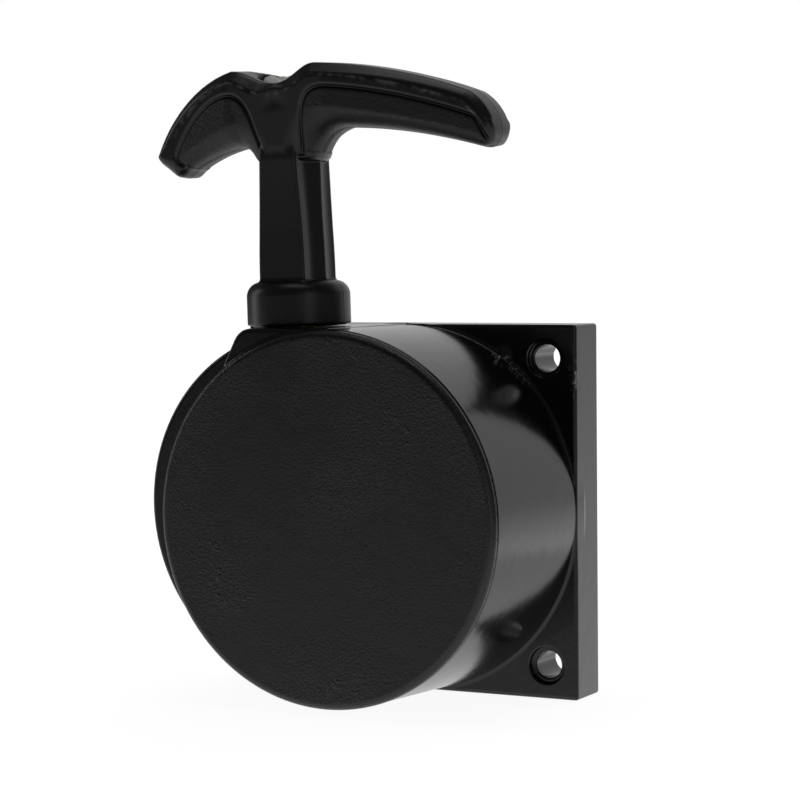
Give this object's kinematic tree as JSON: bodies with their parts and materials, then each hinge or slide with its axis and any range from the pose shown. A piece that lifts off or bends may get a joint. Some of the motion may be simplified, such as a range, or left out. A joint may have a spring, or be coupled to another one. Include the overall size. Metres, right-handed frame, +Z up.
{
  "type": "recoil starter",
  "caption": "Pull starter for a small engine: square-flanged black cast drum housing with a T-handle, rope, recoil spring, pulley and pawls.",
  "frame": {"origin": "centre of the flange's rear face, which bolts to the engine", "axes": "+Y towards the engine along the drum axis, +Z up towards the handle, +X to the right seen from the closed cap"},
  "size_m": [0.0831, 0.0462, 0.1272],
  "materials": {
    "housing_paint": "satin black paint over cast aluminium, slight orange peel",
    "handle_plastic": "satin moulded plastic with finely grained grip panels",
    "pulley_nylon": "glass-filled nylon",
    "zinc_plate": "zinc-plated pressed steel",
    "bare_steel": "ground steel",
    "spring_steel": "blued spring steel",
    "rope_nylon": "braided white nylon",
    "bush_brass": "turned brass",
    "fibre": "pressed brown fibre"
  },
  "bodies": {
    "housing": {"housing": "housing_paint", "rope_guide_bush": "bush_brass", "spring_case": "zinc_plate", "spring_cover": "zinc_plate", "recoil_spring": "spring_steel", "post_sleeve": "bare_steel", "thrust_washer": "fibre", "brake_spring": "spring_steel", "screw_washer": "zinc_plate", "centre_screw": "zinc_plate"},
    "pulley": {"rope_pulley": "pulley_nylon", "rope_winding": "rope_nylon", "rope_anchor_knot": "rope_nylon", "pawl_pin_a": "bare_steel", "pawl_pin_b": "bare_steel"},
    "guide_plate": {"guide_plate": "zinc_plate"},
    "pawl_a": {"pawl_a": "bare_steel"},
    "pawl_b": {"pawl_b": "bare_steel"},
    "rope_end": {"knot_washer": "zinc_plate", "rope_top_knot": "rope_nylon", "rope_lead": "rope_nylon"},
    "handle": {"handle": "handle_plastic"}
  },
  "joints": [
    {"name": "handle_pull", "type": "slide", "parent": "housing", "child": "rope_end", "axis": [-0.0227, 0, 0.9997], "range_m": [0, 0.65], "stiffness_N_per_m": 12, "springref_m": -0.6, "deforming": ["rope_lead"]},
    {"name": "handle_twist", "type": "hinge", "parent": "rope_end", "child": "handle", "pos_m": [-0.0151, -0.02865, 0.0375], "axis": [-0.0227, 0, 0.9997], "range_deg": [-180, 180]},
    {"name": "pulley_spin", "type": "hinge", "parent": "housing", "child": "pulley", "pos_m": [0, -0.02865, 0], "axis": [0, 1, 0], "range_deg": [0, 1600], "deforming": ["recoil_spring"]},
    {"name": "guide_plate_lag", "type": "hinge", "parent": "pulley", "child": "guide_plate", "pos_m": [0, -0.0157, 0], "axis": [0, 1, 0], "range_deg": [-24, 0]},
    {"name": "pawl_a_swing", "type": "hinge", "parent": "pulley", "child": "pawl_a", "pos_m": [0.0146, -0.0186, 0], "axis": [0, 1, 0], "range_deg": [-32.5, 0]},
    {"name": "pawl_b_swing", "type": "hinge", "parent": "pulley", "child": "pawl_b", "pos_m": [-0.0146, -0.0186, 0], "axis": [0, 1, 0], "range_deg": [-32.5, 0]}
  ],
  "couplings": [
    {"joint": "pulley_spin", "follows": "handle_pull", "rad_per_m": 42.5},
    {"joint": "pawl_a_swing", "follows": "guide_plate_lag", "ratio": 1.3333},
    {"joint": "pawl_b_swing", "follows": "guide_plate_lag", "ratio": 1.3333}
  ]
}
